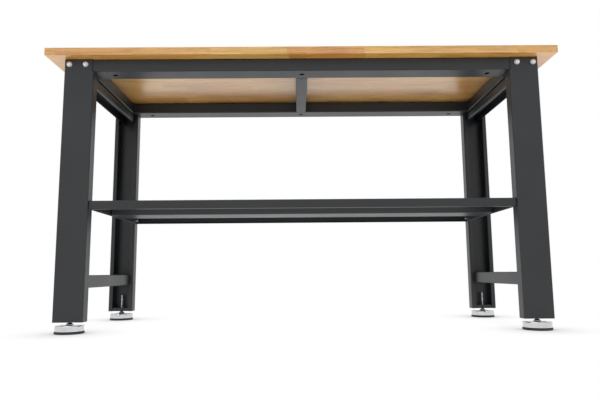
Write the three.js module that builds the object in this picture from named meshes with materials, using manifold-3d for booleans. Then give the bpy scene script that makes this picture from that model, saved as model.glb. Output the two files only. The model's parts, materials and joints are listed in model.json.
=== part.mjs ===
// Assembly table: a hardwood board on a steel frame with a shelf and four levelling feet.
// Millimetres, +Z up, +X to the right, the front faces -Y. The origin is on the floor under the middle.

import * as THREE from "three";
import { mergeVertices } from "three/addons/utils/BufferGeometryUtils.js";
import Module from "manifold-3d";

const wasm = await Module();
wasm.setup();

// Overall sizes
const TABLE_HEIGHT = 875;
const BOARD_LENGTH = 1600;
const BOARD_DEPTH = 600;
const BOARD_THICKNESS = 24;
const BOARD_EDGE_RADIUS = 2;
const BOARD_CORNER_EASE = 2; // added to the edge radius at the corners
const BOARD_END_OVERHANG = 50; // past the outer faces of the legs
const BOARD_FRONT_OVERHANG = 35; // past the front and rear faces of the legs

// Sheet and fits
const SHEET = 2; // every folded profile and tube
const BEND = 2; // inside radius of a fold
const SEAT = 0.3; // between faces that bear on each other
const HOLE_CLEARANCE = 0.3; // all round a bolt, stud or screw

// Legs and their lipped channel
const LEG_WIDTH = 92;
const LEG_DEPTH = 40;
const LEG_LIP = 15;

// Top frame
const APRON_HEIGHT = 40;
const APRON_WIDTH = 72;
const SIDE_APRON_INSET = 9; // inner face, outboard of the legs' inner faces
const SIDE_APRON_SETBACK = 11; // outer face, inboard of the legs' outer faces
const ACCESS_HOLE = 16;
const BRACE_WIDTH = 38;
const BRACE_HOLE = 6;
const BRACE_HOLE_INSET = 6; // from the ends of the brace

// Rails of the end frames
const RAIL_HEIGHT = 30;
const RAIL_LIP = 8; // edge of the inner wall turned in
const RAIL_SIDE_GAP = 11.7; // between the rail and the leg's outer lip
const RAIL_HOLE = 6;
const RAIL_HOLE_OFFSET = 117; // from the middle of the rail
const STRETCHER_HEIGHT = 40;
const STRETCHER_UNDERSIDE = 133; // above the floor

// Shelf
const SHELF_TOP = 400; // deck above the floor
const SHELF_FLANGE = 27;
const SHELF_LIP = 10;
const SHELF_SETBACK = 7.3; // behind the legs' front and rear faces
const SHELF_CORNER_SLIT = 0.5;
const SHELF_BOLT_INSET = 12.7; // from the shelf's front and rear faces
const STIFFENER_WIDTH = 120; // across the flat of the hat
const STIFFENER_DEPTH = 22.5;
const STIFFENER_BRIM = 20;
const STIFFENER_SPLAY = 6; // how much wider each side is at the brim

// Fasteners
const BOLT_DIAMETER = 8;
const BOLT_HEX = 13; // across flats
const BOLT_HEAD = 5.3;
const BOLT_FLANGE = 17;
const BOLT_FLANGE_THICKNESS = 1.6;
const BOLT_NUT = 6.5;
const BOLT_TAIL = 2.5; // thread standing out past the nut
const FRAME_BOLT_DROP = 17; // below the top of the frame
const FRAME_BOLT_FROM_OUTER_EDGE = 16;
const FRAME_BOLT_FROM_INNER_EDGE = 25;
const SCREW_DIAMETER = 4.5;
const SCREW_HEAD = 10;
const SCREW_HEAD_HEIGHT = 3.2;
const SCREW_HEAD_ROUND = 1.2;
const SCREW_POINT = 6; // length of the tapered tip
const SCREW_INSET = 58; // from the legs' inner faces
const SCREW_COVER = 5; // wood left over the pilot hole

// Levelling feet
const PAD_DIAMETER = 86;
const PAD_RIM = 7;
const PAD_HEADROOM = 2; // between the plug inside the cup and the stud's rivet head
const PAD_CHAMFER = 1.2;
const CUP_DIAMETER = 84;
const CUP_HEIGHT = 19;
const CUP_WALL = 2;
const CUP_SHOULDER = 3.5; // outside radius between skirt and top
const CUP_DOME = 1.2; // rise of the top from shoulder to middle
const CUP_FLAT = 34; // across the flat middle of the top
const STUD_DIAMETER = 10;
const STUD_LENGTH = 63; // thread above the collar
const STUD_CHAMFER = 1.2;
const STUD_SLOT_WIDTH = 1.6; // for a screwdriver, across the upper end
const STUD_SLOT_DEPTH = 2;
const STUD_COLLAR = 22; // the collar is a cone on the cup
const STUD_COLLAR_TOP = 12;
const STUD_COLLAR_HEIGHT = 5;
const STUD_NECK = 8; // through the cup
const STUD_RIVET = 15; // head that holds the cup
const STUD_RIVET_HEIGHT = 2.2;
const FOOT_NUT_HEX = 17;
const FOOT_NUT_HEIGHT = 8.4;
const FOOT_PLATE = 3;
const FOOT_PLATE_UPSTAND = 10;
const FOOT_GAP = 2; // bare thread between the collar and the foot plate

// Facets
const BEND_STEPS = 3;
const SHOULDER_STEPS = 3;
const EDGE_STEPS = 2;
const LARGE_ROUND_STEPS = 30;
const SMALL_ROUND_STEPS = 12;
const MERGE = 1e-4; // vertices closer than this are one

// Levels above the floor
const cupBottom = PAD_RIM + SEAT;
const cupTop = cupBottom + CUP_HEIGHT;
const rivetTop = cupTop - CUP_WALL - SEAT;
const rivetBottom = rivetTop - STUD_RIVET_HEIGHT;
const collarBottom = cupTop + SEAT;
const threadBottom = collarBottom + STUD_COLLAR_HEIGHT;
const legBottom = threadBottom + FOOT_GAP;
const boardUnderside = TABLE_HEIGHT - BOARD_THICKNESS;
const frameTop = boardUnderside - SEAT;
const apronBottom = frameTop - APRON_HEIGHT;
const railTop = apronBottom - SEAT;
const frameBoltLevel = frameTop - FRAME_BOLT_DROP;
const shelfBoltLevel = SHELF_TOP - SHELF_FLANGE / 2;

// Places from the middle outwards
const legOuter = BOARD_LENGTH / 2 - BOARD_END_OVERHANG;
const legInner = legOuter - LEG_WIDTH;
const legFront = BOARD_DEPTH / 2 - BOARD_FRONT_OVERHANG;
const footX = legOuter - LEG_WIDTH / 2;
const footY = legFront - LEG_DEPTH / 2;
const apronFace = legFront - SHEET - SEAT;
const apronEdge = apronFace - APRON_WIDTH;
const apronEnd = legOuter - SHEET - BEND - SEAT;
const screwY = apronFace - APRON_WIDTH / 2;
const railInner = legInner + LEG_LIP + SEAT;
const railOuter = legOuter - LEG_LIP - RAIL_SIDE_GAP;
const shelfEnd = legInner - SEAT;
const shelfFront = legFront - SHELF_SETBACK;
const shelfBoltY = shelfFront - SHELF_BOLT_INSET;
const frameBoltX = {
  outer: legOuter - FRAME_BOLT_FROM_OUTER_EDGE,
  inner: legInner + FRAME_BOLT_FROM_INNER_EDGE,
};
const screwX = { left: SCREW_INSET - legInner, centre: 0, right: legInner - SCREW_INSET };
const boltHole = BOLT_DIAMETER + 2 * HOLE_CLEARANCE;
const studHole = STUD_DIAMETER + 2 * HOLE_CLEARANCE;
const pilotHole = SCREW_DIAMETER + 2 * HOLE_CLEARANCE;
const pilotDepth = BOARD_THICKNESS - SCREW_COVER;
const through = 2 * (SHEET + BEND); // length of a tool that cuts one wall

// Finishes
const powderCoat = new THREE.MeshStandardMaterial({ color: 0x44474a, roughness: 0.55, metalness: 0.1 });
const hardwood = new THREE.MeshStandardMaterial({ color: 0xd8b27c, roughness: 0.5, metalness: 0 });
const zinc = new THREE.MeshStandardMaterial({ color: 0xc9cccf, roughness: 0.3, metalness: 1 });
const chrome = new THREE.MeshStandardMaterial({ color: 0xe4e5e6, roughness: 0.12, metalness: 1 });
const rubber = new THREE.MeshStandardMaterial({ color: 0x1c1c1d, roughness: 0.85, metalness: 0 });

// A closed geometry as a solid that can be joined and cut.
function solidOf(geometry) {
  const bare = geometry.clone();
  bare.deleteAttribute("normal");
  bare.deleteAttribute("uv");
  const merged = mergeVertices(bare, MERGE);
  const vertProperties = new Float32Array(merged.attributes.position.array);
  const triVerts = new Uint32Array(merged.index.array);
  return new wasm.Manifold(new wasm.Mesh({ numProp: 3, vertProperties, triVerts }));
}

function geometryOf(solid) {
  const mesh = solid.getMesh();
  const geometry = new THREE.BufferGeometry();
  geometry.setAttribute("position", new THREE.BufferAttribute(mesh.vertProperties, 3));
  geometry.setIndex(new THREE.BufferAttribute(mesh.triVerts, 1));
  geometry.computeVertexNormals();
  return geometry;
}

function cut(geometry, tools) {
  return geometryOf(tools.reduce((body, tool) => body.subtract(solidOf(tool)), solidOf(geometry)));
}

function join(geometry, others) {
  return geometryOf(others.reduce((body, other) => body.add(solidOf(other)), solidOf(geometry)));
}

// One side of a folded sheet, at a signed offset from the path along the sheet's middle.
// Each corner of the path is an arc about the same centre on both sides of the sheet.
function foldedSide(path, offset, sheet) {
  const middleRadius = BEND + sheet / 2;
  const along = path.slice(1).map((point, i) => point.clone().sub(path[i]).normalize());
  const normal = along.map((direction) => new THREE.Vector2(-direction.y, direction.x));
  const side = [path[0].clone().addScaledVector(normal[0], offset)];
  for (let i = 1; i < path.length - 1; i++) {
    const turn = Math.atan2(along[i - 1].cross(along[i]), along[i - 1].dot(along[i]));
    const inward = Math.sign(turn);
    const mitre = normal[i - 1].clone().add(normal[i]);
    mitre.multiplyScalar((inward * middleRadius) / (1 + normal[i - 1].dot(normal[i])));
    const centre = path[i].clone().add(mitre);
    for (let step = 0; step <= BEND_STEPS; step++) {
      const spoke = normal[i - 1].clone().rotateAround(new THREE.Vector2(), (turn * step) / BEND_STEPS);
      side.push(centre.clone().addScaledVector(spoke, offset - inward * middleRadius));
    }
  }
  side.push(path[path.length - 1].clone().addScaledVector(normal[normal.length - 1], offset));
  return side;
}

// The outline of a sheet folded along a path that runs through the middle of its thickness.
function foldedSheet(points, sheet = SHEET) {
  const path = points.map(([a, b]) => new THREE.Vector2(a, b));
  const left = foldedSide(path, sheet / 2, sheet);
  const right = foldedSide(path, -sheet / 2, sheet);
  return new THREE.Shape([...left, ...right.reverse()]);
}

// The points of a rectangle with rounded corners, between pairs of limits.
function roundedRectangle([x0, x1], [y0, y1], radius, steps) {
  const right = x1 - radius;
  const left = x0 + radius;
  const top = y1 - radius;
  const bottom = y0 + radius;
  return [[right, top], [left, top], [left, bottom], [right, bottom]].flatMap(([x, y], corner) =>
    Array.from({ length: steps + 1 }, (_, step) => {
      const angle = (Math.PI / 2) * (corner + step / steps);
      return new THREE.Vector2(x + radius * Math.cos(angle), y + radius * Math.sin(angle));
    }),
  );
}

// The outline of a closed rectangular tube, between its outer faces.
function tube([x0, x1], [y0, y1]) {
  const outside = roundedRectangle([x0, x1], [y0, y1], SHEET + BEND, BEND_STEPS);
  const inside = roundedRectangle([x0 + SHEET, x1 - SHEET], [y0 + SHEET, y1 - SHEET], BEND, BEND_STEPS);
  const shape = new THREE.Shape(outside);
  shape.holes.push(new THREE.Path(inside));
  return shape;
}

// A profile carried straight along an axis. It is drawn in (y, z) along X, (z, x) along Y and (x, y) along Z.
const AXES = { x: new THREE.Vector3(1, 0, 0), y: new THREE.Vector3(0, 1, 0), z: new THREE.Vector3(0, 0, 1) };
const ALONG = {
  x: new THREE.Matrix4().makeBasis(AXES.y, AXES.z, AXES.x),
  y: new THREE.Matrix4().makeBasis(AXES.z, AXES.x, AXES.y),
  z: new THREE.Matrix4(),
};

function carried(shape, axis, from, to) {
  const geometry = new THREE.ExtrudeGeometry(shape, { depth: to - from, bevelEnabled: false });
  return geometry.translate(0, 0, from).applyMatrix4(ALONG[axis]);
}

// A box between two corners, given as pairs of limits in either order.
function block([x0, x1], [y0, y1], [z0, z1]) {
  const geometry = new THREE.BoxGeometry(Math.abs(x1 - x0), Math.abs(y1 - y0), Math.abs(z1 - z0));
  return geometry.translate((x0 + x1) / 2, (y0 + y1) / 2, (z0 + z1) / 2);
}

// A round or six-sided bar along an axis, from one place on that axis to another.
function bar(axis, diameter, from, to, at, steps = SMALL_ROUND_STEPS) {
  const geometry = new THREE.CylinderGeometry(diameter / 2, diameter / 2, to - from, steps);
  geometry.rotateY(Math.PI / steps).rotateX(Math.PI / 2).translate(0, 0, (from + to) / 2);
  return geometry.applyMatrix4(ALONG[axis]).translate(...at);
}

function hexBar(axis, acrossFlats, from, to, at) {
  return bar(axis, (2 * acrossFlats) / Math.sqrt(3), from, to, at, 6);
}

// A profile of (radius, height) points turned about the Z axis.
function turned(profile, steps) {
  const points = profile.map(([radius, height]) => new THREE.Vector2(radius, height));
  return new THREE.LatheGeometry(points, steps).rotateX(Math.PI / 2);
}

function piece(parent, name, geometry, finish) {
  const mesh = new THREE.Mesh(geometry, finish.clone());
  mesh.name = name;
  parent.add(mesh);
  return mesh;
}

// Board: eased edges all round, and blind pilot holes for the screws from below.
function boardGeometry() {
  const halfLength = BOARD_LENGTH / 2 - BOARD_EDGE_RADIUS;
  const halfDepth = BOARD_DEPTH / 2 - BOARD_EDGE_RADIUS;
  const limits = [[-halfLength, halfLength], [-halfDepth, halfDepth]];
  const outline = new THREE.Shape(roundedRectangle(...limits, BOARD_CORNER_EASE, EDGE_STEPS));
  const slab = new THREE.ExtrudeGeometry(outline, {
    depth: BOARD_THICKNESS - 2 * BOARD_EDGE_RADIUS,
    bevelThickness: BOARD_EDGE_RADIUS,
    bevelSize: BOARD_EDGE_RADIUS,
    bevelSegments: EDGE_STEPS,
  }).translate(0, 0, boardUnderside + BOARD_EDGE_RADIUS);
  const pilots = [-screwY, screwY].flatMap((y) =>
    Object.values(screwX).map((x) =>
      bar("z", pilotHole, boardUnderside - through, boardUnderside + pilotDepth, [x, y, 0]),
    ),
  );
  return cut(slab, pilots);
}

// Apron: a tube, drawn for the rear side. Its face carries a weld nut behind each frame bolt, its underside
// an access hole below each screw through its upper wall.
function apronGeometry() {
  const section = tube([apronEdge, apronFace], [apronBottom, frameTop]);
  const body = carried(section, "x", -apronEnd, apronEnd);
  const boltXs = Object.values(frameBoltX).flatMap((x) => [x, -x]);
  const boltPlaces = boltXs.map((x) => [x, 0, frameBoltLevel]);
  const nutFace = apronFace - SHEET - BOLT_NUT;
  const nuts = boltPlaces.map((at) => hexBar("y", BOLT_HEX, nutFace, apronFace - SHEET / 2, at));
  const boltHoles = boltPlaces.map((at) => bar("y", boltHole, nutFace - SEAT, apronFace + SEAT, at));
  const screwHoles = Object.values(screwX).flatMap((x) => [
    bar("z", ACCESS_HOLE, apronBottom - through / 2, apronBottom + through / 2, [x, screwY, 0]),
    bar("z", pilotHole, frameTop - through / 2, frameTop + through / 2, [x, screwY, 0]),
  ]);
  return cut(join(body, nuts), [...boltHoles, ...screwHoles]);
}

// Side apron: a tube between the inner faces of the two aprons, drawn for the right end.
function sideApronGeometry() {
  const section = tube([apronBottom, frameTop], [legInner + SIDE_APRON_INSET, legOuter - SIDE_APRON_SETBACK]);
  return carried(section, "y", SEAT - apronEdge, apronEdge - SEAT);
}

// Brace: a tube between the aprons in the middle of the table, with a hole near each end of its underside.
function braceGeometry() {
  const end = apronEdge - SEAT;
  const section = tube([apronBottom, frameTop], [-BRACE_WIDTH / 2, BRACE_WIDTH / 2]);
  const holes = [BRACE_HOLE_INSET - end, end - BRACE_HOLE_INSET].map((y) =>
    bar("z", BRACE_HOLE, apronBottom - through / 2, apronBottom + through / 2, [0, y, 0]),
  );
  return cut(carried(section, "y", -end, end), holes);
}

// Inverted channel that reaches between the webs of two legs, drawn for the right end. Its inner wall ends
// in a lip, its outer wall in a plain edge.
function endRailGeometry(top, height) {
  const bottom = top - height;
  const lip = bottom + SHEET / 2;
  const web = top - SHEET / 2;
  const inner = railInner + SHEET / 2;
  const outer = railOuter - SHEET / 2;
  const path = [[lip, railInner + RAIL_LIP], [lip, inner], [web, inner], [web, outer], [bottom, outer]];
  return carried(foldedSheet(path), "y", -apronFace, apronFace);
}

function topRailGeometry() {
  const holeLevel = railTop - RAIL_HEIGHT / 2;
  const wall = railInner + SHEET / 2;
  const hole = bar("x", RAIL_HOLE, wall - through / 2, wall + through / 2, [0, RAIL_HOLE_OFFSET, holeLevel]);
  return cut(endRailGeometry(railTop, RAIL_HEIGHT), [hole]);
}

// Shelf: a deck with lipped front and rear edges. Each end is folded down between those edges, clear of
// their lips, and drilled for the bolts into the legs.
function shelfGeometry() {
  const deck = SHELF_TOP - SHEET / 2;
  const bottom = SHELF_TOP - SHELF_FLANGE;
  const hem = bottom + SHEET / 2;
  const face = shelfFront - SHEET / 2;
  const lip = shelfFront - SHELF_LIP;
  const half = [[face, deck], [face, hem], [lip, hem]];
  const mirrored = half.map(([y, z]) => [-y, z]).reverse();
  const tray = carried(foldedSheet([...mirrored, ...half]), "x", -shelfEnd, shelfEnd);

  const endWall = shelfEnd - SHEET / 2;
  const bendLine = shelfEnd - SHEET - BEND;
  const endReach = shelfFront - SHEET - BEND - SHELF_CORNER_SLIT;
  const slitReach = endReach + SHELF_CORNER_SLIT;
  const lipClear = lip - SHELF_CORNER_SLIT;
  const pastEnd = shelfEnd + SEAT;
  const deckSlots = [];
  const ends = [];
  const holes = [];
  for (const side of [-1, 1]) {
    const endStrip = [side * bendLine, side * pastEnd];
    deckSlots.push(block(endStrip, [-slitReach, slitReach], [SHELF_TOP - SHEET - SEAT, SHELF_TOP + SEAT]));
    const path = [[bottom, side * endWall], [deck, side * endWall], [deck, side * (bendLine - through)]];
    const end = carried(foldedSheet(path), "y", -endReach, endReach);
    const lipNotches = [-1, 1].map((front) =>
      block(endStrip, [front * lipClear, front * shelfFront], [bottom - SEAT, bottom + SHEET + BEND]),
    );
    ends.push(cut(end, lipNotches));
    for (const y of [-shelfBoltY, shelfBoltY]) {
      const wall = side * endWall;
      holes.push(bar("x", boltHole, wall - through / 2, wall + through / 2, [0, y, shelfBoltLevel]));
    }
  }
  return cut(join(cut(tray, deckSlots), ends), holes);
}

// Stiffener: a hat section along the deck's underside, between the shelf's end walls.
function stiffenerGeometry() {
  const brim = SHELF_TOP - SHEET - SEAT - SHEET / 2;
  const flat = brim + SHEET / 2 - STIFFENER_DEPTH + SHEET / 2;
  const flatSide = STIFFENER_WIDTH / 2 - SHEET / 2;
  const brimSide = flatSide + STIFFENER_SPLAY;
  const edge = brimSide + STIFFENER_BRIM;
  const half = [[edge, brim], [brimSide, brim], [flatSide, flat]];
  const mirrored = half.map(([y, z]) => [-y, z]).reverse();
  const end = shelfEnd - SHEET - BEND - SEAT;
  return carried(foldedSheet([...half, ...mirrored]), "x", -end, end);
}

// Leg, drawn for the right rear corner about the foot's axis: a lipped channel. Above the rails the inner
// flange and both lips are cut away, so that the aprons pass behind the web.
function legGeometry() {
  const side = LEG_WIDTH / 2 - SHEET / 2;
  const web = LEG_DEPTH / 2 - SHEET / 2;
  const lip = LEG_WIDTH / 2 - LEG_LIP;
  const half = [[side, web], [side, -web], [lip, -web]];
  const mirrored = half.map(([x, y]) => [-x, y]).reverse();
  const channel = carried(foldedSheet([...mirrored, ...half]), "z", legBottom, frameTop);
  const bendLine = LEG_WIDTH / 2 - SHEET - BEND;
  const openSide = LEG_DEPTH / 2 + SEAT;
  const aboveRails = [railTop, frameTop + SEAT];
  const notches = [
    block([-LEG_WIDTH, -bendLine], [-openSide, openSide], aboveRails),
    block([-LEG_WIDTH, bendLine], [-openSide, SHEET + BEND - openSide], aboveRails),
  ];
  const boltHoles = Object.values(frameBoltX).map((x) =>
    bar("y", boltHole, web - through / 2, web + through / 2, [x - footX, 0, frameBoltLevel]),
  );
  const shelfBoltAt = [0, shelfBoltY - footY, shelfBoltLevel];
  const shelfHole = bar("x", boltHole, -side - through / 2, -side + through / 2, shelfBoltAt);
  return cut(channel, [...notches, ...boltHoles, shelfHole]);
}

// Foot plate: closes the leg's end between its bends, with an edge turned up inside the lips.
function footPlateGeometry() {
  const level = legBottom + FOOT_PLATE / 2;
  const webEdge = LEG_DEPTH / 2 - SHEET - SEAT;
  const upstand = FOOT_PLATE / 2 - webEdge;
  const halfWidth = LEG_WIDTH / 2 - SHEET - BEND;
  const path = [[webEdge, level], [upstand, level], [upstand, legBottom + FOOT_PLATE + FOOT_PLATE_UPSTAND]];
  const plate = carried(foldedSheet(path, FOOT_PLATE), "x", -halfWidth, halfWidth);
  return cut(plate, [bar("z", studHole, legBottom - SEAT, legBottom + FOOT_PLATE + SEAT, [0, 0, 0])]);
}

function footNutGeometry() {
  const bottom = legBottom + FOOT_PLATE + SEAT;
  const top = bottom + FOOT_NUT_HEIGHT;
  const axis = [0, 0, 0];
  const hole = bar("z", studHole, bottom - SEAT, top + SEAT, axis);
  return cut(hexBar("z", FOOT_NUT_HEX, bottom, top, axis), [hole]);
}

// Stud: a rivet head under the cup, a neck through it, a collar, and the thread with a slot across its end.
function studGeometry() {
  const tip = threadBottom + STUD_LENGTH;
  const spindle = turned(
    [
      [0, rivetBottom],
      [STUD_RIVET / 2, rivetBottom],
      [STUD_RIVET / 2, rivetTop],
      [STUD_NECK / 2, rivetTop],
      [STUD_NECK / 2, collarBottom],
      [STUD_COLLAR / 2, collarBottom],
      [STUD_COLLAR_TOP / 2, threadBottom],
      [STUD_DIAMETER / 2, threadBottom],
      [STUD_DIAMETER / 2, tip - STUD_CHAMFER],
      [STUD_DIAMETER / 2 - STUD_CHAMFER, tip],
      [0, tip],
    ],
    SMALL_ROUND_STEPS,
  );
  const slotSide = STUD_SLOT_WIDTH / 2;
  const slotLevels = [tip - STUD_SLOT_DEPTH, tip + SEAT];
  const slot = block([-slotSide, slotSide], [-STUD_DIAMETER, STUD_DIAMETER], slotLevels);
  return cut(spindle, [slot]);
}

// Cup: a pressed cap with a round shoulder and a slightly domed top, open below.
function cupGeometry() {
  const rim = CUP_DIAMETER / 2;
  const neck = STUD_NECK / 2 + HOLE_CLEARANCE;
  const shoulderTop = cupTop - CUP_DOME;
  const shoulder = (radius) =>
    Array.from({ length: SHOULDER_STEPS + 1 }, (_, step) => {
      const angle = (Math.PI / 2) * (step / SHOULDER_STEPS);
      return [
        rim - CUP_SHOULDER + radius * Math.cos(angle),
        shoulderTop - CUP_SHOULDER + radius * Math.sin(angle),
      ];
    });
  const outside = [[rim, cupBottom], ...shoulder(CUP_SHOULDER), [CUP_FLAT / 2, cupTop], [neck, cupTop]];
  const inside = [
    [neck, cupTop - CUP_WALL],
    [CUP_FLAT / 2, cupTop - CUP_WALL],
    ...shoulder(CUP_SHOULDER - CUP_WALL).reverse(),
    [rim - CUP_WALL, cupBottom],
  ];
  return turned([...outside, ...inside, outside[0]], LARGE_ROUND_STEPS);
}

// Pad: a rubber disc under the cup's rim with a plug that fits inside the cup.
function padGeometry() {
  const rim = PAD_DIAMETER / 2;
  const plug = CUP_DIAMETER / 2 - CUP_WALL - SEAT;
  const plugTop = rivetBottom - PAD_HEADROOM;
  return turned(
    [
      [0, 0],
      [rim - PAD_CHAMFER, 0],
      [rim, PAD_CHAMFER],
      [rim, PAD_RIM - PAD_CHAMFER],
      [rim - PAD_CHAMFER, PAD_RIM],
      [plug, PAD_RIM],
      [plug, plugTop],
      [0, plugTop],
    ],
    LARGE_ROUND_STEPS,
  );
}

// Frame bolt: hexagon with a flange, through the leg's web, the apron's face and its weld nut.
function frameBoltGeometry(at) {
  const seat = LEG_DEPTH / 2 + SEAT;
  const hexBase = seat + BOLT_FLANGE_THICKNESS;
  const tail = seat - SEAT - SHEET - SEAT - SHEET - BOLT_NUT - BOLT_TAIL;
  const shank = bar("y", BOLT_DIAMETER, tail, hexBase, at);
  const flange = bar("y", BOLT_FLANGE, seat, hexBase, at);
  const head = hexBar("y", BOLT_HEX, seat + BOLT_FLANGE_THICKNESS / 2, hexBase + BOLT_HEAD, at);
  return join(shank, [flange, head]);
}

// Shelf bolt and nut: the head is inside the shelf, the nut inside the leg.
function shelfBoltGeometry(at) {
  const wall = -LEG_WIDTH / 2;
  const headSeat = wall - SEAT - SHEET - SEAT;
  const tail = wall + SHEET + SEAT + BOLT_NUT + BOLT_TAIL;
  const shank = bar("x", BOLT_DIAMETER, headSeat - BOLT_HEAD / 2, tail, at);
  return join(shank, [hexBar("x", BOLT_HEX, headSeat - BOLT_HEAD, headSeat, at)]);
}

function shelfNutGeometry(at) {
  const face = SHEET + SEAT - LEG_WIDTH / 2;
  const nut = hexBar("x", BOLT_HEX, face, face + BOLT_NUT, at);
  return cut(nut, [bar("x", boltHole, face - SEAT, face + BOLT_NUT + SEAT, at)]);
}

// Wood screw: a pan head under the apron's upper wall and a tapered point in the board.
function screwGeometry() {
  const seat = frameTop - SHEET - SEAT;
  const tip = boardUnderside + pilotDepth - SEAT;
  return turned(
    [
      [0, seat - SCREW_HEAD_HEIGHT],
      [SCREW_HEAD / 2 - SCREW_HEAD_ROUND, seat - SCREW_HEAD_HEIGHT],
      [SCREW_HEAD / 2, seat - SCREW_HEAD_HEIGHT + SCREW_HEAD_ROUND],
      [SCREW_HEAD / 2, seat],
      [SCREW_DIAMETER / 2, seat],
      [SCREW_DIAMETER / 2, tip - SCREW_POINT],
      [0, tip],
    ],
    SMALL_ROUND_STEPS,
  );
}

const table = new THREE.Group();

piece(table, "table_top", boardGeometry(), hardwood);
piece(table, "rear_apron", apronGeometry(), powderCoat);
piece(table, "front_apron", apronGeometry(), powderCoat).rotation.z = Math.PI;
piece(table, "centre_brace", braceGeometry(), powderCoat);
piece(table, "shelf_tray", shelfGeometry(), powderCoat);
piece(table, "shelf_stiffener", stiffenerGeometry(), powderCoat);

// End frames: the left one is the right one turned half round.
for (const [side, turn] of [["right", 0], ["left", Math.PI]]) {
  const end = new THREE.Group();
  end.rotation.z = turn;
  piece(end, `${side}_side_apron`, sideApronGeometry(), powderCoat);
  piece(end, `${side}_top_rail`, topRailGeometry(), powderCoat);
  const stretcherTop = STRETCHER_UNDERSIDE + STRETCHER_HEIGHT;
  piece(end, `${side}_lower_stretcher`, endRailGeometry(stretcherTop, STRETCHER_HEIGHT), powderCoat);
  table.add(end);
}

// Corners: each is the right rear one mirrored across the table's middle planes.
for (const [front, y] of [["front", -1], ["rear", 1]]) {
  for (const [side, x] of [["left", -1], ["right", 1]]) {
    const corner = new THREE.Group();
    corner.position.set(x * footX, y * footY, 0);
    corner.scale.set(x, y, 1);
    const name = `${front}_${side}`;
    piece(corner, `${name}_leg`, legGeometry(), powderCoat);
    piece(corner, `${name}_foot_plate`, footPlateGeometry(), powderCoat);
    piece(corner, `${name}_foot_nut`, footNutGeometry(), zinc);
    piece(corner, `${name}_foot_stud`, studGeometry(), zinc);
    piece(corner, `${name}_foot_cup`, cupGeometry(), chrome);
    piece(corner, `${name}_foot_pad`, padGeometry(), rubber);
    for (const [place, boltX] of Object.entries(frameBoltX)) {
      const at = [boltX - footX, 0, frameBoltLevel];
      piece(corner, `${name}_frame_bolt_${place}`, frameBoltGeometry(at), zinc);
    }
    const shelfBoltAt = [0, shelfBoltY - footY, shelfBoltLevel];
    piece(corner, `${name}_shelf_bolt`, shelfBoltGeometry(shelfBoltAt), zinc);
    piece(corner, `${name}_shelf_nut`, shelfNutGeometry(shelfBoltAt), zinc);
    table.add(corner);
  }
}

// Screws from the aprons into the board.
for (const [front, y] of [["front", -screwY], ["rear", screwY]]) {
  for (const [place, x] of Object.entries(screwX)) {
    piece(table, `${front}_${place}_top_screw`, screwGeometry(), zinc).position.set(x, y, 0);
  }
}

export default table;
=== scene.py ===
"""Looks of the assembly table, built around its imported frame. Metres, +X right, +Y to the rear, +Z up."""

import functools
import json
import math

import bmesh
import bpy
import numpy as np
from mathutils import Matrix, Vector


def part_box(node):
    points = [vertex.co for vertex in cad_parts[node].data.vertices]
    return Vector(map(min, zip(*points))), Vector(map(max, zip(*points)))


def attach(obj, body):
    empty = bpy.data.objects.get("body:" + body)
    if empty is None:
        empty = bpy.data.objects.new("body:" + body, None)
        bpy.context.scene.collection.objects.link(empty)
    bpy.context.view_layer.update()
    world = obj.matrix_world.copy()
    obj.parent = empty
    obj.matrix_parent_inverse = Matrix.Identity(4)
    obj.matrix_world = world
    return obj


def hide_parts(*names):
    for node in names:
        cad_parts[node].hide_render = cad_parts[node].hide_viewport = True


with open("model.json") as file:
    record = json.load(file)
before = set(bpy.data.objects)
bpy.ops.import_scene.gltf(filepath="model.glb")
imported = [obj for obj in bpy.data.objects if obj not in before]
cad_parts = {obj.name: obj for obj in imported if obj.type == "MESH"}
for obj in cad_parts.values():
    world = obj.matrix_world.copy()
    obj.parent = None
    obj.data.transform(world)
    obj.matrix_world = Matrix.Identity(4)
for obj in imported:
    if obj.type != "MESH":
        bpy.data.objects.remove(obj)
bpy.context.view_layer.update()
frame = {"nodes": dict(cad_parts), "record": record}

MM = 0.001
TURN = 2 * math.pi
CORNERS = [f"{front}_{side}" for front in ("front", "rear") for side in ("left", "right")]

# Camera, from the perspective of the photograph
IMAGE_WIDTH_PX = 600
FOCAL_PX = 546.36
SENSOR_WIDTH_MM = 36
CAMERA_PLACE = (-18.9 * MM, -1924.05 * MM, 174.2 * MM)
CAMERA_YAW = 0.005862
CAMERA_PITCH = 0.131995
CAMERA_ROLL = -0.007998

# Light
WORLD_FILL = 0.6
FLOOR_RADIUS = 60
FLOOR_LIGHT = 1.6  # on what stands over it
FLOOR_REFLECTION = 0.95
FLOOR_SHADOW_REACH = 0.15
FLOOR_SHADOW_LEVEL = 0.05  # where hardly any light gets in
FLOOR_SHADOW_RAYS = 12
SOFTBOX_PLACE = (-0.7, -0.9, 3.2)
SOFTBOX_AIM = (0, 0, 0.8)
SOFTBOX_SIZE = 2.4
SOFTBOX_POWER = 30

# Board and its blocks of wood
BOARD_EDGE_RADIUS = 2 * MM
STAVE_WIDTH = 43 * MM
BLOCK_LENGTH = 240 * MM
FRONT_JOINT_X = -36 * MM  # one joint along the front edge
TONE_SEED = 7
FINGER_WIDTH = 4 * MM
FINGER_LENGTH = 9 * MM
GLUE_LINE = 0.8 * MM  # several times as wide as it is, to show
GRAIN_STRETCH = 22  # how much longer than wide the grain is

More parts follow.
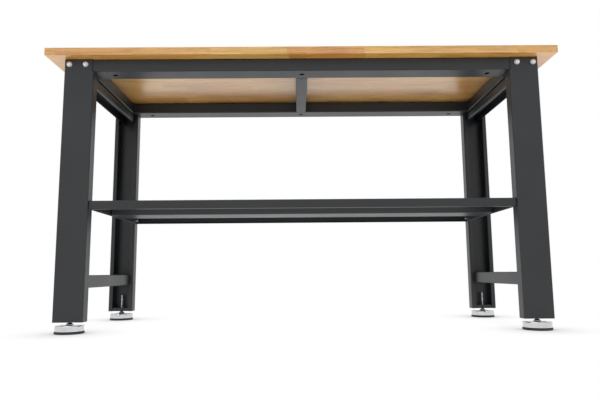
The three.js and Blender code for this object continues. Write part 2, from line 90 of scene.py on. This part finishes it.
# Fasteners
EDGE_BREAK = 0.6 * MM
CHAMFER_ANGLE = 30  # degrees from the face of a hexagon
BOLT_HEX = 13 * MM
BOLT_HEAD = 5.3 * MM
BOLT_DIAMETER = 8 * MM
BOLT_PITCH = 1.25 * MM
BOLT_FLANGE = 17 * MM
BOLT_FLANGE_THICKNESS = 1.6 * MM
SCREW_HEAD = 10 * MM
SCREW_HEAD_HEIGHT = 3.2 * MM
SCREW_HEAD_ROUND = 1.2 * MM
SCREW_DIAMETER = 4.5 * MM
SCREW_PITCH = 2 * MM
SCREW_POINT = 6 * MM
RECESS_DEPTH = 1.8 * MM
RECESS_WIDTH = 1.1 * MM
RECESS_REACH = 2.6 * MM
RECESS_SLOPE = 0.25 * MM
THREAD_DEPTH = 0.6  # of the pitch
THREAD_FLAT = 1 / 8  # of the wave, cut off at crest and root

# Levelling feet
STUD_DIAMETER = 10 * MM
STUD_PITCH = 1.5 * MM
STUD_LENGTH = 63 * MM
STUD_SLOT_WIDTH = 1.6 * MM
STUD_SLOT_DEPTH = 2 * MM
STUD_COLLAR = 22 * MM
STUD_COLLAR_TOP = 12 * MM
STUD_COLLAR_HEIGHT = 5 * MM
STUD_NECK = 8 * MM
STUD_RIVET = 15 * MM
STUD_RIVET_HEIGHT = 2.2 * MM
FOOT_NUT_HEX = 17 * MM
CUP_DIAMETER = 84 * MM
CUP_WALL = 2 * MM
CUP_SHOULDER = 3.5 * MM
CUP_DOME = 1.2 * MM
CUP_FLAT = 34 * MM
PAD_DIAMETER = 86 * MM
PAD_RIM = 7 * MM
PAD_EDGE = 1.2 * MM
PAD_GROOVES = 5
PAD_GROOVE_DEPTH = 0.8 * MM
PAD_GROOVE_STEEPNESS = 3
PAD_GROOVE_ONSET = 1.6  # the higher, the narrower the groove
CLEARANCE = 0.3 * MM

# Points of the meshes
AROUND = 48  # round a turned shape, a multiple of six so that hexagons keep their corners
ARC_ROWS = 8
CHAMFER_ROWS = 7
THREAD_ROWS = 8  # to a turn
SLOT_ROWS = 10
SOLE_ROWS = 60
DOME_ROWS = 10
RECESS_ROWS = 24
CORNER_ROWS = 7
MERGE_DISTANCE = 1e-4 * MM
CREASE_ANGLE = 32  # degrees, past which an edge stays sharp


def linear(colour):
    """An sRGB hex colour as linear red, green, blue and alpha."""
    channels = np.array([int(colour[i : i + 2], 16) for i in (1, 3, 5)]) / 255
    curve = np.where(channels <= 0.04045, channels / 12.92, ((channels + 0.055) / 1.055) ** 2.4)
    return (*curve, 1.0)


def add_node(tree, kind, inputs=None, **settings):
    """A node with its settings. Each input is given a value or linked to another node's output."""
    node = tree.nodes.new("ShaderNode" + kind)
    for name, value in settings.items():
        setattr(node, name, value)
    for name, value in (inputs or {}).items():
        if isinstance(value, bpy.types.NodeSocket):
            tree.links.new(value, node.inputs[name])
        else:
            node.inputs[name].default_value = value
    return node.outputs


def mottled(name, colours, roughness, patch, metallic=0):
    """A material whose colour and roughness drift together between two values, in patches of a real size."""
    drift_limits = {"From Min": 0.3, "From Max": 0.7}
    rough_limits = {"To Min": roughness[0], "To Max": roughness[1]}
    material = bpy.data.materials.new(name)
    material.use_nodes = True
    tree = material.node_tree
    shader = tree.nodes["Principled BSDF"]
    shader.inputs["Metallic"].default_value = metallic
    place = add_node(tree, "TexCoord")["Object"]
    cloud = add_node(tree, "TexNoise", {"Vector": place, "Scale": 1 / patch, "Detail": 3})["Fac"]
    drift = add_node(tree, "MapRange", {"Value": cloud, **drift_limits})["Result"]
    low, high = (linear(colour) for colour in colours)
    colour = add_node(tree, "MixRGB", {"Fac": drift, "Color1": low, "Color2": high})["Color"]
    rough = add_node(tree, "MapRange", {"Value": drift, **rough_limits})["Result"]
    tree.links.new(colour, shader.inputs["Base Color"])
    tree.links.new(rough, shader.inputs["Roughness"])
    return material, tree, shader, place


def powder_coat():
    """Polyester powder baked on sheet steel, semi-gloss anthracite.

    Its fine orange peel softens reflections, faces at a slant turn pale, and edges look slightly rounded.
    """
    colours = ("#191b1e", "#1e2124")
    roughness = (0.36, 0.43)
    patch = 140 * MM
    peel_width = 1.8 * MM  # about twice as coarse as it is, to show
    peel_depth = 0.1 * MM
    edge_radius = 2 * MM
    material, tree, shader, place = mottled("powder_coated_steel_anthracite", colours, roughness, patch)
    shader.inputs["IOR"].default_value = 1.5
    peel = add_node(tree, "TexNoise", {"Vector": place, "Scale": 1 / peel_width, "Detail": 2})["Fac"]
    rounded = add_node(tree, "Bevel", {"Radius": edge_radius}, samples=6)["Normal"]
    relief = {"Strength": 0.25, "Distance": peel_depth, "Height": peel, "Normal": rounded}
    tree.links.new(add_node(tree, "Bump", relief)["Normal"], shader.inputs["Normal"])
    return material


def zinc():
    """Bright zinc plating on steel fasteners: a cool grey metal with a faint cloudy spangle."""
    colours = ("#ced1d4", "#e0e2e2")
    roughness = (0.2, 0.34)
    patch = 5 * MM
    return mottled("zinc_plated_steel_bright", colours, roughness, patch, metallic=1)[0]


def chrome():
    """Polished chrome plating on a pressed cup: a near mirror with faint handling marks."""
    colours = ("#c8cacc", "#d8d9da")
    roughness = (0.05, 0.14)
    patch = 14 * MM
    return mottled("chrome_plated_steel_polished", colours, roughness, patch, metallic=1)[0]


def rubber():
    """Moulded black rubber: matt, with a fine pebble grain and a trace of grey bloom."""
    colours = ("#161617", "#232324")
    roughness = (0.62, 0.78)
    patch = 18 * MM
    pebble_width = 0.9 * MM
    pebble_depth = 0.08 * MM
    material, tree, shader, place = mottled("moulded_rubber_black", colours, roughness, patch)
    pebbles = add_node(tree, "TexNoise", {"Vector": place, "Scale": 1 / pebble_width, "Detail": 2})["Fac"]
    relief = {"Strength": 0.3, "Distance": pebble_depth, "Height": pebbles}
    tree.links.new(add_node(tree, "Bump", relief)["Normal"], shader.inputs["Normal"])
    return material


def hardwood():
    """Finger-jointed hardwood, planed and lacquered to a satin: staves of short blocks glued side by side.

    Each block has its own tone and its own grain along the table. Growth figure, a few brown streaks and fine
    pores darken it, thin glue lines part the blocks, and the lacquer mirrors what is pale or dark nearby.
    """
    colours = ("#c79a49", "#d3a959")
    roughness = (0.34, 0.44)
    patch = 90 * MM
    red_tint = linear("#f0d5b8")
    pale_tint = linear("#ffffff")
    glue = linear("#8a6640")
    pore_depth = 0.1 * MM
    material, tree, shader, place = mottled("finger_jointed_hardwood_satin", colours, roughness, patch)
    shader.inputs["Coat Weight"].default_value = 1
    shader.inputs["Coat Roughness"].default_value = 0.28
    shader.inputs["Coat IOR"].default_value = 1.75
    axes = add_node(tree, "SeparateXYZ", {"Vector": place})

    # Which stave across the board. The front edge lies inside the first one, clear of its glue line
    front_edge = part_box("table_top")[0].y - GLUE_LINE
    counted = {0: axes["Y"], 1: 1 / STAVE_WIDTH, 2: -front_edge / STAVE_WIDTH}
    across = add_node(tree, "Math", counted, operation="MULTIPLY_ADD")["Value"]
    stave = add_node(tree, "Math", {0: across}, operation="FLOOR")["Value"]

    # Which block along the stave. Fingers make the joint a zigzag, and staves behind the first are staggered
    chance = add_node(tree, "TexWhiteNoise", {"W": stave}, noise_dimensions="1D")["Value"]
    behind = add_node(tree, "Math", {0: stave, 1: 0.5}, operation="GREATER_THAN")["Value"]
    stagger = add_node(tree, "Math", {0: chance, 1: behind}, operation="MULTIPLY")["Value"]
    finger = add_node(tree, "Math", {0: axes["Y"], 1: FINGER_WIDTH}, operation="PINGPONG")["Value"]
    fingered = {0: finger, 1: FINGER_LENGTH / FINGER_WIDTH, 2: axes["X"]}
    zigzag = add_node(tree, "Math", fingered, operation="MULTIPLY_ADD")["Value"]
    from_joint = add_node(tree, "Math", {0: zigzag, 1: FRONT_JOINT_X}, operation="SUBTRACT")["Value"]
    counted = {0: from_joint, 1: 1 / BLOCK_LENGTH, 2: stagger}
    along = add_node(tree, "Math", counted, operation="MULTIPLY_ADD")["Value"]
    block = add_node(tree, "Math", {0: along}, operation="FLOOR")["Value"]

    # Tone of the block, from reddish to pale
    identity = add_node(tree, "CombineXYZ", {"X": block, "Y": stave, "Z": TONE_SEED})["Vector"]
    tone = add_node(tree, "TexWhiteNoise", {"Vector": identity}, noise_dimensions="3D")
    tint = add_node(tree, "MixRGB", {"Fac": tone["Value"], "Color1": red_tint, "Color2": pale_tint})["Color"]
    colour = shader.inputs["Base Color"].links[0].from_socket
    tinted = {"Fac": 1, "Color1": colour, "Color2": tint}
    colour = add_node(tree, "MixRGB", tinted, blend_type="MULTIPLY")["Color"]

    # Grain drawn out along the table and shifted from block to block. A layer has the width of its grain, the
    # noise values at which it starts and is full, and its shade. The last one, the pores, also makes dents
    shifted = add_node(tree, "VectorMath", {0: place, 1: tone["Color"]}, operation="ADD")["Vector"]
    drawn_out = add_node(tree, "Mapping", {"Vector": shifted, "Scale": (1 / GRAIN_STRETCH, 1, 1)})["Vector"]
    figure = (7 * MM, 0.62, 0.3, "#dbccb6")
    streaks = (16 * MM, 0.36, 0.2, "#ac8658")
    pores = (1.4 * MM, 0.46, 0.3, "#d4c1a8")  # several times as coarse as they are, to show
    for width, start, full, shade in (figure, streaks, pores):
        grain = add_node(tree, "TexNoise", {"Vector": drawn_out, "Scale": 1 / width, "Detail": 3})["Fac"]
        dark = add_node(tree, "MapRange", {"Value": grain, "From Min": start, "From Max": full})["Result"]
        shaded = {"Fac": dark, "Color1": colour, "Color2": linear(shade)}
        colour = add_node(tree, "MixRGB", shaded, blend_type="MULTIPLY")["Color"]
    relief = {"Strength": 0.2, "Distance": pore_depth, "Height": grain}
    tree.links.new(add_node(tree, "Bump", relief)["Normal"], shader.inputs["Normal"])

    # Glue lines between staves and between blocks
    for count, size in ((across, STAVE_WIDTH), (along, BLOCK_LENGTH)):
        gap = add_node(tree, "Math", {0: count, 1: 0.5}, operation="PINGPONG")["Value"]
        thin = {"Value": gap, "From Min": GLUE_LINE / 2 / size, "From Max": 0}
        line = add_node(tree, "MapRange", thin)["Result"]
        colour = add_node(tree, "MixRGB", {"Fac": line, "Color1": colour, "Color2": glue})["Color"]
    tree.links.new(colour, shader.inputs["Base Color"])
    return material


ANGLES = np.linspace(0, TURN, AROUND, endpoint=False)


def rings(radius, level):
    """Rows of points round the Z axis, at radii and levels given for each row or for each of its points."""
    columns = [np.atleast_2d(value).T if np.ndim(value) < 2 else value for value in (radius, level)]
    radius, level, angle = np.broadcast_arrays(*columns, ANGLES)
    return np.stack([radius * np.cos(angle), radius * np.sin(angle), level], axis=-1)


def arc_rings(centre, radius, start, end):
    """Rows along an arc of a circle about (radius, level), from one angle in degrees to another."""
    angle = np.radians(np.linspace(start, end, ARC_ROWS))
    return rings(centre[0] + radius * np.cos(angle), centre[1] + radius * np.sin(angle))


def hex_rings(across_flats, bottom, top, chamfered=(True, True)):
    """A hexagon: half the flats over the cosine of the angle from the nearest flat.

    A cone from each chamfered face cuts its corners.
    """
    from_flat = (ANGLES + TURN / 12) % (TURN / 6) - TURN / 12
    side = across_flats / 2 / np.cos(from_flat)
    face = across_flats / 2 - EDGE_BREAK / 2
    slope = 1 / math.tan(math.radians(CHAMFER_ANGLE))
    depth = (side.max() - face) / slope * np.linspace(0, 1, CHAMFER_ROWS)
    levels = np.concatenate([bottom + depth, top - depth[::-1]])[:, None]
    for is_cut, from_face in zip(chamfered, (levels - bottom, top - levels)):
        if is_cut:
            side = np.minimum(side, face + slope * from_face)
    return rings(side, levels)


def thread_rings(diameter, pitch, bottom, top, tip, lead):
    """A right-hand thread: the radius follows a clipped triangle wave of level over pitch less turns.

    At the top it stays inside a cone, which narrows to the tip's radius over the lead.
    """
    crest = diameter / 2
    levels = np.linspace(bottom, top, round((top - bottom) / pitch * THREAD_ROWS))[:, None]
    triangle = np.abs(2 * ((levels / pitch - ANGLES / TURN) % 1) - 1)
    wave = np.clip((triangle - THREAD_FLAT) / (1 - 2 * THREAD_FLAT), 0, 1)
    cone = tip + (crest - tip) * (top - levels) / lead
    return rings(np.minimum(crest - THREAD_DEPTH * pitch * wave, cone), levels)


def pad_shape(height):
    """Rubber pad: ring grooves in its sole, where a cosine of the radius is low, rolled edges and a plug."""
    rim = PAD_DIAMETER / 2
    plug = CUP_DIAMETER / 2 - CUP_WALL - CLEARANCE
    sole = np.linspace(0, rim - PAD_EDGE, SOLE_ROWS)
    wave = np.cos(TURN * PAD_GROOVES * sole / sole[-1])
    groove = np.clip(-PAD_GROOVE_STEEPNESS * wave - PAD_GROOVE_ONSET, 0, 1)
    return np.concatenate([
        rings(sole, PAD_GROOVE_DEPTH * groove),
        arc_rings((rim - PAD_EDGE, PAD_EDGE), PAD_EDGE, -90, 0),
        arc_rings((rim - PAD_EDGE, PAD_RIM - PAD_EDGE), PAD_EDGE, 0, 90),
        rings([plug, plug, 0], [PAD_RIM, height, height]),
    ])


def cup_shape(height):
    """Pressed cup of one wall: rolled rim, straight skirt, round shoulder and a low cosine dome."""
    rim = CUP_DIAMETER / 2
    roll = CUP_WALL / 2
    neck = STUD_NECK / 2 + CLEARANCE
    bend = (rim - CUP_SHOULDER, height - CUP_DOME - CUP_SHOULDER)
    dome = np.linspace(rim - CUP_SHOULDER, CUP_FLAT / 2, DOME_ROWS)
    rise = height - CUP_DOME / 2 * (1 + np.cos(np.linspace(0, TURN / 2, DOME_ROWS)))
    return np.concatenate([
        arc_rings((rim - roll, roll), roll, -180, 0),
        arc_rings(bend, CUP_SHOULDER, 0, 90),
        rings(dome, rise),
        rings([neck + EDGE_BREAK, neck, neck], [height, height - EDGE_BREAK, height - CUP_WALL]),
        rings(dome[::-1], rise[::-1] - CUP_WALL),
        arc_rings(bend, CUP_SHOULDER - CUP_WALL, 90, 0),
    ])


def stud_shape(length):
    """Levelling stud: rivet head, neck through the cup, conical collar, and thread.

    Points near the middle plane of its upper end are pressed down to the floor of the screwdriver slot.
    """
    thread_bottom = length - STUD_LENGTH
    collar_bottom = thread_bottom - STUD_COLLAR_HEIGHT
    rivet = STUD_RIVET / 2
    neck = STUD_NECK / 2
    foot = STUD_COLLAR / 2
    crown = STUD_COLLAR_TOP / 2
    tip = STUD_DIAMETER / 2 - STUD_PITCH
    stud = np.concatenate([
        rings([0, rivet - EDGE_BREAK, rivet, rivet], [0, 0, EDGE_BREAK, STUD_RIVET_HEIGHT]),
        rings([neck, neck], [STUD_RIVET_HEIGHT, collar_bottom]),
        rings([foot - EDGE_BREAK, foot, foot], [collar_bottom, collar_bottom, collar_bottom + EDGE_BREAK]),
        rings([crown, crown - EDGE_BREAK], [thread_bottom - EDGE_BREAK, thread_bottom]),
        thread_rings(STUD_DIAMETER, STUD_PITCH, thread_bottom, length, tip, STUD_PITCH),
        rings(np.linspace(tip, 0, SLOT_ROWS), length),
    ])
    in_slot = np.abs(stud[..., 1]) < STUD_SLOT_WIDTH / 2
    slot_floor = length - STUD_SLOT_DEPTH
    stud[..., 2] = np.where(in_slot, np.minimum(stud[..., 2], slot_floor), stud[..., 2])
    return stud


def bolt_shape(length, flange):
    """Hexagon bolt, from its head to its tip: chamfered head, flange if it has one, and thread."""
    tip = BOLT_DIAMETER / 2 - BOLT_PITCH
    if flange:
        seat = BOLT_HEAD + BOLT_FLANGE_THICKNESS
        rim = BOLT_FLANGE / 2
        edge = [rim - EDGE_BREAK, rim, rim, rim - EDGE_BREAK]
        levels = [BOLT_HEAD, BOLT_HEAD + EDGE_BREAK, seat - EDGE_BREAK, seat]
        head = np.concatenate([hex_rings(BOLT_HEX, 0, BOLT_HEAD, (True, False)), rings(edge, levels)])
    else:
        seat = BOLT_HEAD
        head = hex_rings(BOLT_HEX, 0, BOLT_HEAD)
    thread = thread_rings(BOLT_DIAMETER, BOLT_PITCH, seat, length, tip, BOLT_PITCH)
    return np.concatenate([rings(0, 0), head, thread, rings(0, length)])


def nut_shape(height, across_flats, thread):
    """Hexagon nut: chamfered outside, with a plain bore whose ends are eased."""
    bore = thread / 2 + CLEARANCE
    eased = bore + EDGE_BREAK
    inside = rings([eased, bore, bore, eased], [height, height - EDGE_BREAK, EDGE_BREAK, 0])
    return np.concatenate([hex_rings(across_flats, 0, height), inside])


def screw_shape(length):
    """Pan-head wood screw: a crossed recess where an axis of the head is near, and a thread to a point."""
    head = SCREW_HEAD / 2
    face = np.linspace(0, head - SCREW_HEAD_ROUND, RECESS_ROWS)[:, None] * np.ones(AROUND)
    arm = face * np.minimum(np.abs(np.cos(ANGLES)), np.abs(np.sin(ANGLES)))
    in_width = np.clip((RECESS_WIDTH / 2 - arm) / RECESS_SLOPE, 0, 1)
    in_reach = np.clip((RECESS_REACH - face) / RECESS_SLOPE, 0, 1)
    return np.concatenate([
        rings(face, RECESS_DEPTH * in_width * in_reach),
        arc_rings((head - SCREW_HEAD_ROUND, SCREW_HEAD_ROUND), SCREW_HEAD_ROUND, -90, 0),
        rings(head, SCREW_HEAD_HEIGHT),
        thread_rings(SCREW_DIAMETER, SCREW_PITCH, SCREW_HEAD_HEIGHT, length, 0, SCREW_POINT),
    ])


def board_shape(low, high):
    """Board: a ball of the edge radius, whose eight octants are moved out to the corners of the box."""
    quarter = np.linspace(0, TURN / 4, CORNER_ROWS)
    tilt = np.concatenate([-quarter[::-1], quarter])[:, None]
    around = np.concatenate([quarter + k * TURN / 4 for k in range(4)])
    ball = np.broadcast_arrays(np.sin(tilt), np.cos(tilt) * np.cos(around), np.cos(tilt) * np.sin(around))
    signs = ([-1, 1], [1, -1, -1, 1], [1, 1, -1, -1])
    ends, fronts, tops = (np.repeat(sign, CORNER_ROWS) for sign in signs)
    octant = np.broadcast_arrays(ends[:, None], fronts, tops)
    core = np.array(high - low) / 2 - BOARD_EDGE_RADIUS
    shell = np.stack(octant, axis=-1) * core + np.stack(ball, axis=-1) * BOARD_EDGE_RADIUS
    # each end is closed along its middle line
    level = np.array([1, 1, 0])
    return np.concatenate([shell[:1] * level, shell, shell[-1:] * level]) + np.array(low + high) / 2


def make_mesh(name, grid, hollow):
    """A closed mesh over a grid of points whose rows run round. A hollow shape's last row joins its first."""
    rows, columns = grid.shape[:2]
    index = np.arange(rows * columns).reshape(rows, columns)
    here = index if hollow else index[:-1]
    ahead = np.roll(index, -1, axis=0) if hollow else index[1:]
    quads = np.stack([here, np.roll(here, -1, 1), np.roll(ahead, -1, 1), ahead], axis=-1)
    mesh = bpy.data.meshes.new(name)
    mesh.from_pydata(grid.reshape(-1, 3), [], quads.reshape(-1, 4))
    work = bmesh.new()
    work.from_mesh(mesh)
    bmesh.ops.remove_doubles(work, verts=work.verts, dist=MERGE_DISTANCE)
    bmesh.ops.recalc_face_normals(work, faces=work.faces)
    work.to_mesh(mesh)
    work.free()
    mesh.shade_smooth()
    mesh.set_sharp_from_angle(angle=math.radians(CREASE_ANGLE))
    return mesh


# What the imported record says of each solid
record = frame["record"]
slot_of = {subpart["node"]: subpart["material_slot"] for subpart in record["subparts"]}
body_of = {node: body for body, nodes in record["behaviour"]["bodies"].items() for node in nodes}
finishes = {
    "powder_coat": powder_coat(),
    "hardwood": hardwood(),
    "zinc": zinc(),
    "chrome": chrome(),
    "rubber": rubber(),
}


def make_piece(name, node, grid, hollow=False):
    """A piece that stands for a solid: it moves with the solid's body and takes its finish."""
    slot = slot_of[node]
    mesh = make_mesh(name, grid, hollow)
    mesh.materials.append(finishes[slot])
    piece = bpy.data.objects.new(name, mesh)
    bpy.context.scene.collection.objects.link(piece)
    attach(piece, body_of[node])
    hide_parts(node)


def make_turned(name, node, shape, towards=(0, 0, 1), hollow=False):
    """A shape given by its length, set along a direction over the length of the solid that it stands for."""
    low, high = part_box(node)
    direction = Vector(towards)
    length = abs((high - low).dot(direction))
    base = (low + high) / 2 - direction * length / 2
    turn = Vector((0, 0, 1)).rotation_difference(direction).to_matrix()
    make_piece(name, node, shape(length) @ np.array(turn).T + np.array(base), hollow)


# Every solid gets its finish, also where a piece below stands for it
for node, slot in slot_of.items():
    materials = frame["nodes"][node].data.materials
    materials.clear()
    materials.append(finishes[slot])

# Board, feet and fasteners
make_piece("hardwood_board", "table_top", board_shape(*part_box("table_top")))
frame_bolt = functools.partial(bolt_shape, flange=True)
shelf_bolt = functools.partial(bolt_shape, flange=False)
shelf_nut = functools.partial(nut_shape, across_flats=BOLT_HEX, thread=BOLT_DIAMETER)
stud_nut = functools.partial(nut_shape, across_flats=FOOT_NUT_HEX, thread=STUD_DIAMETER)
for corner in CORNERS:
    inward = (0, 1, 0) if corner.startswith("front") else (0, -1, 0)
    endward = (-1, 0, 0) if corner.endswith("left") else (1, 0, 0)
    make_turned(f"{corner}_rubber_pad", f"{corner}_foot_pad", pad_shape)
    make_turned(f"{corner}_chrome_cup", f"{corner}_foot_cup", cup_shape, hollow=True)
    make_turned(f"{corner}_threaded_stud", f"{corner}_foot_stud", stud_shape)
    make_turned(f"{corner}_stud_nut", f"{corner}_foot_nut", stud_nut, hollow=True)
    make_turned(f"{corner}_flange_bolt_outer", f"{corner}_frame_bolt_outer", frame_bolt, inward)
    make_turned(f"{corner}_flange_bolt_inner", f"{corner}_frame_bolt_inner", frame_bolt, inward)
    make_turned(f"{corner}_shelf_hex_bolt", f"{corner}_shelf_bolt", shelf_bolt, endward)
    make_turned(f"{corner}_shelf_hex_nut", f"{corner}_shelf_nut", shelf_nut, endward, hollow=True)
for front in ("front", "rear"):
    for place in ("left", "centre", "right"):
        make_turned(f"{front}_{place}_wood_screw", f"{front}_{place}_top_screw", screw_shape)


def make_floor():
    """A white disc under the feet, which glows on the table and in its mirrors.

    The camera sees the white surroundings through it, shaded near what stands on it, so that a foot which is
    screwed out below it still shows.
    """
    rim = FLOOR_RADIUS * np.stack([np.cos(ANGLES), np.sin(ANGLES), 0 * ANGLES], axis=-1)
    mesh = bpy.data.meshes.new("floor")
    mesh.from_pydata(rim, [], [range(AROUND)])
    material = bpy.data.materials.new("studio_floor_glow_and_painted_shadow")
    material.use_nodes = True
    tree = material.node_tree
    tree.nodes.remove(tree.nodes["Principled BSDF"])
    # painted shadow: what the camera sees through the disc is darkened by how closed in each point is, within
    # the reach, not by the lamps
    nearby = {"Distance": FLOOR_SHADOW_REACH}
    openness = add_node(tree, "AmbientOcclusion", nearby, samples=FLOOR_SHADOW_RAYS)["AO"]
    shade = add_node(tree, "MapRange", {"Value": openness, "To Min": FLOOR_SHADOW_LEVEL})["Result"]
    seen = add_node(tree, "BsdfTransparent", {"Color": shade})["BSDF"]
    # to everything but the camera the disc is a glowing sheet that lights the table from below, though it is
    # no lamp
    path = add_node(tree, "LightPath")
    chosen = {"Value": path["Is Glossy Ray"], "To Min": FLOOR_LIGHT, "To Max": FLOOR_REFLECTION}
    strength = add_node(tree, "MapRange", chosen)["Result"]
    glow = add_node(tree, "Emission", {"Strength": strength})["Emission"]
    mixed = add_node(tree, "MixShader", {0: path["Is Camera Ray"], 1: glow, 2: seen})["Shader"]
    tree.links.new(mixed, tree.nodes["Material Output"].inputs["Surface"])
    mesh.materials.append(material)
    floor = bpy.data.objects.new("floor", mesh)
    bpy.context.scene.collection.objects.link(floor)


def make_world():
    """Surroundings that are white to the camera, in mirrors and through glass, and a soft fill as a light."""
    world = bpy.data.worlds.new("studio")
    world.use_nodes = True
    tree = world.node_tree
    path = add_node(tree, "LightPath")
    strength = WORLD_FILL
    for rays in ("Is Camera Ray", "Is Glossy Ray", "Is Transmission Ray"):
        strength = add_node(tree, "Math", {0: strength, 1: path[rays]}, operation="MAXIMUM")["Value"]
    background = tree.nodes["Background"]
    background.inputs["Color"].default_value = linear("#ffffff")
    tree.links.new(strength, background.inputs["Strength"])
    bpy.context.scene.world = world


def make_softbox():
    """A large square lamp overhead, a little to the front and the left, for soft shape on the upper faces."""
    lamp = bpy.data.lights.new("softbox", "AREA")
    lamp.size = SOFTBOX_SIZE
    lamp.energy = SOFTBOX_POWER
    softbox = bpy.data.objects.new("softbox", lamp)
    softbox.location = SOFTBOX_PLACE
    facing = Vector(SOFTBOX_AIM) - Vector(SOFTBOX_PLACE)
    softbox.rotation_euler = facing.to_track_quat("-Z", "Y").to_euler()
    bpy.context.scene.collection.objects.link(softbox)


def make_camera():
    """The photograph's view: low in front of the table, looking slightly up."""
    lens = bpy.data.cameras.new("camera")
    lens.sensor_width = SENSOR_WIDTH_MM
    lens.lens = FOCAL_PX / IMAGE_WIDTH_PX * SENSOR_WIDTH_MM
    lens.clip_end = 2 * FLOOR_RADIUS
    camera = bpy.data.objects.new("camera", lens)
    yaw = Matrix.Rotation(-CAMERA_YAW, 4, "Z")
    pitch = Matrix.Rotation(TURN / 4 + CAMERA_PITCH, 4, "X")
    roll = Matrix.Rotation(CAMERA_ROLL, 4, "Z")
    camera.matrix_world = Matrix.Translation(CAMERA_PLACE) @ yaw @ pitch @ roll
    bpy.context.scene.collection.objects.link(camera)
    bpy.context.scene.camera = camera


make_floor()
make_world()
make_softbox()
make_camera()
bpy.context.scene.view_settings.view_transform = "Standard"
